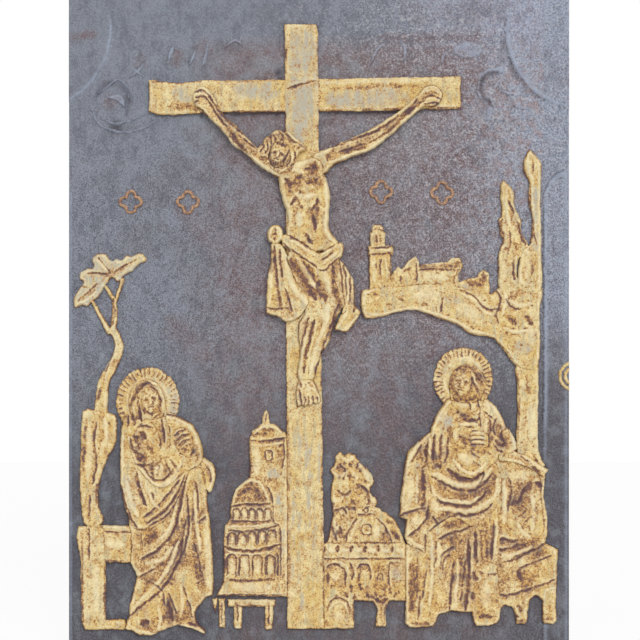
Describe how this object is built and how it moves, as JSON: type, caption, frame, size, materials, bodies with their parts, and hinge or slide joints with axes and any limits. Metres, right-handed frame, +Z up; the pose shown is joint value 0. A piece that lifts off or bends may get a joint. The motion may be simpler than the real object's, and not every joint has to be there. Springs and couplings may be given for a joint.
{
  "type": "cast iron stove plate",
  "caption": "Flat cast-iron plate from a jamb stove, with a low relief of a cross, mourners, towers and trees in worn gilt paint.",
  "frame": {"origin": "middle of the plate's foot edge, halfway through its thickness", "axes": "+Z up the plate, +X to the right as the picture is looked at, and the picture faces -Y"},
  "size_m": [0.5, 0.0254, 0.66],
  "materials": {
    "bare_iron": "sand-cast skin, blue-grey with brown rust mottling",
    "gilt_paint": "matte yellow ochre paint, freckled and worn brown in the recesses",
    "worn_bronze_paint": "thin bronze-brown paint, mostly worn off"
  },
  "bodies": {
    "root": {"backplate": "bare_iron", "border_top": "bare_iron", "border_right": "bare_iron", "border_left": "bare_iron", "cross_upright": "gilt_paint", "cross_beam_left": "gilt_paint", "cross_beam_right": "gilt_paint", "hung_arm_left": "gilt_paint", "hung_arm_right": "gilt_paint", "hung_torso": "gilt_paint", "hung_head": "gilt_paint", "hung_hair": "gilt_paint", "hung_legs": "gilt_paint", "hung_feet": "gilt_paint", "loincloth_wrap": "gilt_paint", "loincloth_knot": "gilt_paint", "loincloth_fall": "gilt_paint", "loincloth_drape": "gilt_paint", "tree_leaves": "gilt_paint", "tree_trunk": "gilt_paint", "rock_pillar": "gilt_paint", "bench": "gilt_paint", "bench_post": "gilt_paint", "left_halo": "gilt_paint", "left_head": "gilt_paint", "left_bust": "gilt_paint", "left_hands": "gilt_paint", "left_mantle": "gilt_paint", "left_cuff": "gilt_paint", "left_robe": "gilt_paint", "tower_finial": "gilt_paint", "tower_lantern": "gilt_paint", "tower_rotunda": "gilt_paint", "tower_table": "gilt_paint", "church_bush": "gilt_paint", "church_lantern": "gilt_paint", "church_dome": "gilt_paint", "church_parapet": "gilt_paint", "church_wall": "gilt_paint", "minaret": "gilt_paint", "hill_houses": "gilt_paint", "rock_arch": "gilt_paint", "dead_trunk_short": "gilt_paint", "dead_trunk_tall": "gilt_paint", "long_trunk": "gilt_paint", "right_halo": "gilt_paint", "right_head": "gilt_paint", "right_bust": "gilt_paint", "right_hands": "gilt_paint", "right_mantle": "gilt_paint", "right_fall": "gilt_paint", "right_forearm": "gilt_paint", "right_robe": "gilt_paint", "right_rock": "gilt_paint", "scroll_left": "bare_iron", "scroll_right": "bare_iron", "crest_left": "bare_iron", "crest_right": "bare_iron", "field_rosettes": "worn_bronze_paint", "edge_ring": "gilt_paint"}
  },
  "joints": []
}
